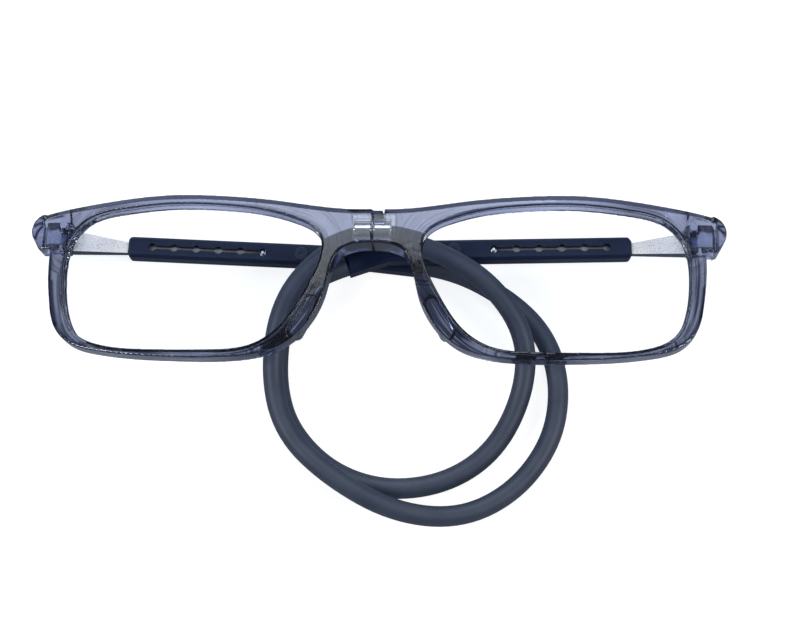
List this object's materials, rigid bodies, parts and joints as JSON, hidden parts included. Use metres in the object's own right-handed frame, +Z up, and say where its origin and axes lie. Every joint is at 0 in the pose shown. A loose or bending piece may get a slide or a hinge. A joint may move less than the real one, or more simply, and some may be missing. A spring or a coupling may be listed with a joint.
{
  "type": "magnetic bridge reading glasses",
  "caption": "Reading glasses, folded flat: two half fronts that meet at a magnetic bridge, sliding temples and a looped silicone neck band.",
  "frame": {"origin": "the middle of the folded glasses' bounding box at its base, measured without the neck band; the glasses lie on their backs and Z = 0 is the table", "axes": "+X to the right and +Y to the upper edge as the front is seen from its face; +Z up, out of the front surface"},
  "size_m": [0.1426, 0.0653, 0.0206],
  "materials": {
    "rim": "clear grey-violet injection-moulded plastic, polished",
    "lens": "clear resin, polished",
    "magnet": "nickel plated",
    "hinge": "bright plated",
    "screw": "bright",
    "blade": "fine blasted",
    "pin": "bright",
    "sleeve": "satin",
    "rivet": "satin",
    "tang": "plain",
    "band": "matt silicone"
  },
  "bodies": {
    "headband": {"neck_band": "band", "sleeve_left": "sleeve", "sleeve_right": "sleeve", "band_rivet_left": "rivet", "band_rivet_right": "rivet", "band_tang_left": "tang", "band_tang_right": "tang"},
    "left_arm": {"temple_blade_left": "blade", "detent_pin_left": "pin"},
    "right_arm": {"temple_blade_right": "blade", "detent_pin_right": "pin"},
    "left_front": {"rim_left": "rim", "lens_left": "lens", "magnet_left": "magnet", "hinge_plate_left": "hinge", "hinge_screw_left": "screw", "bridge_key": "rim"},
    "right_front": {"rim_right": "rim", "lens_right": "lens", "magnet_right": "magnet", "hinge_plate_right": "hinge", "hinge_screw_right": "screw"}
  },
  "joints": [
    {"name": "left_length", "type": "slide", "parent": "headband", "child": "left_arm", "axis": [-0.9995, 0.0319, 0], "range_m": [0, 0.0233]},
    {"name": "right_length", "type": "slide", "parent": "headband", "child": "right_arm", "axis": [0.9995, 0.0319, 0], "range_m": [0, 0.0233]},
    {"name": "left_hinge", "type": "hinge", "parent": "left_arm", "child": "left_front", "pos_m": [-0.06722, 0.0111, 0.002], "axis": [0, -1, 0], "range_deg": [0, 95]},
    {"name": "right_hinge", "type": "hinge", "parent": "right_arm", "child": "right_front", "pos_m": [0.0675, 0.0111, 0.0065], "axis": [0, 1, 0], "range_deg": [0, 95]}
  ]
}
